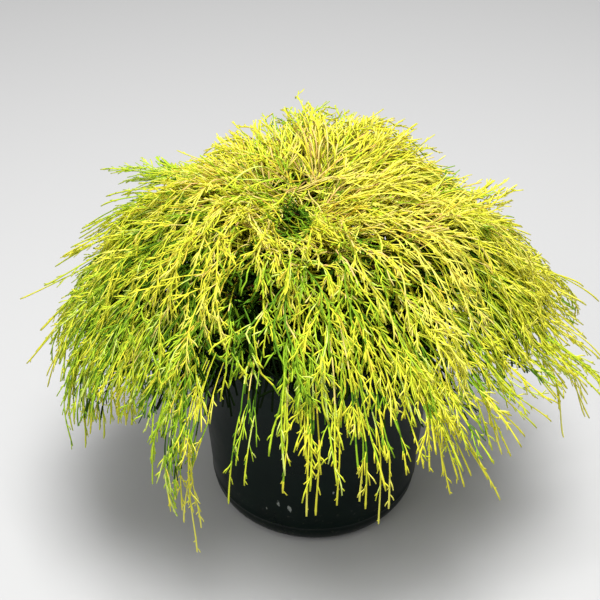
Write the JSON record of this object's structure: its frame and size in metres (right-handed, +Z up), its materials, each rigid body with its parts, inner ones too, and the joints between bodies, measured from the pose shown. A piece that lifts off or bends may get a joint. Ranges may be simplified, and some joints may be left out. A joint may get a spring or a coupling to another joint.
{
  "type": "golden thread-leaf sawara cypress in a nursery pot",
  "caption": "Low mop-shaped golden conifer with thread-like foliage that arches over and hangs down round its plain black nursery pot.",
  "frame": {"origin": "centre of the pot's flat underside, on the surface it stands on", "axes": "+Z up along the pot's axis; -Y is the side the picture was taken from; +X to the right in it"},
  "size_m": [0.5173, 0.4274, 0.36],
  "materials": {
    "nursery_plastic": "satin",
    "growing_mix": "matte",
    "bark": "matte",
    "foliage": "matte"
  },
  "bodies": {
    "root": {"bough_1": "bark", "bough_2": "bark", "bough_3": "bark", "bough_4": "bark", "bough_5": "bark", "bough_6": "bark", "bough_7": "bark", "bough_8": "bark", "crown_1": "foliage", "crown_2": "foliage", "crown_3": "foliage", "crown_4": "foliage", "crown_5": "foliage", "crown_6": "foliage", "growing_mix": "growing_mix", "pot": "nursery_plastic", "shoulder_1": "foliage", "shoulder_2": "foliage", "shoulder_3": "foliage", "shoulder_4": "foliage", "shoulder_5": "foliage", "shoulder_6": "foliage", "shoulder_7": "foliage", "shoulder_8": "foliage", "skirt_1": "foliage", "skirt_10": "foliage", "skirt_11": "foliage", "skirt_12": "foliage", "skirt_13": "foliage", "skirt_14": "foliage", "skirt_15": "foliage", "skirt_16": "foliage", "skirt_2": "foliage", "skirt_3": "foliage", "skirt_4": "foliage", "skirt_5": "foliage", "skirt_6": "foliage", "skirt_7": "foliage", "skirt_8": "foliage", "skirt_9": "foliage", "sprig_back": "foliage", "sprig_left": "foliage", "sprig_left_back": "foliage", "sprig_left_front": "foliage", "sprig_right": "foliage", "sprig_right_back": "foliage", "sprig_right_front": "foliage", "sprig_top": "foliage", "stem": "bark"}
  },
  "joints": []
}
